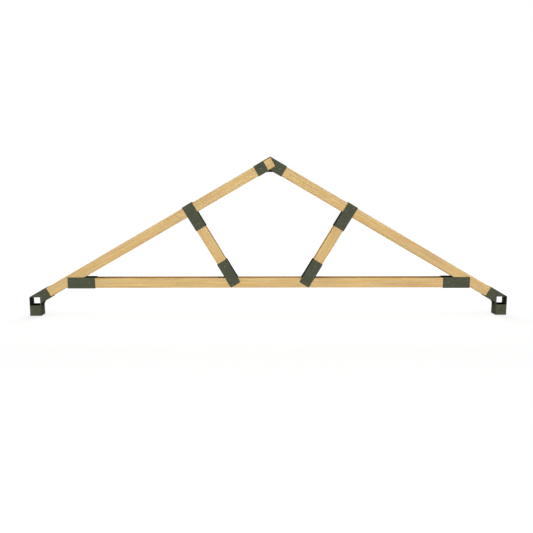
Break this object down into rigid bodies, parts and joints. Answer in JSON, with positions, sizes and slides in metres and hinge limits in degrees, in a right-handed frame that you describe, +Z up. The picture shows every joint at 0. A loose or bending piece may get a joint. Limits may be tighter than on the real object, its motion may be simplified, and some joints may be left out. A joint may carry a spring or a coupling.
{
  "type": "wooden roof truss",
  "caption": "Gable roof truss of square timbers: rafters, bottom chord and slanted webs, joined by dark steel sleeve brackets, with open foot sleeves that drop over posts",
  "frame": {"origin": "floor level, midway between the two foot sleeves, middle of the thickness", "axes": "X along the span, Y through the thickness, Z up"},
  "size_m": [4.29, 0.0994, 1.408],
  "materials": {
    "timber": "planed pale softwood, unfinished",
    "bracket_steel": "fine satin powder coat, dark olive grey"
  },
  "bodies": {
    "root": {"rafter_left": "timber", "rafter_right": "timber", "bottom_chord": "timber", "web_left": "timber", "web_right": "timber", "peak_bracket": "bracket_steel", "foot_bracket_left": "bracket_steel", "foot_bracket_right": "bracket_steel", "heel_bracket_left": "bracket_steel", "heel_bracket_right": "bracket_steel", "upper_web_bracket_left": "bracket_steel", "upper_web_bracket_right": "bracket_steel", "lower_web_bracket_left": "bracket_steel", "lower_web_bracket_right": "bracket_steel"}
  },
  "joints": []
}
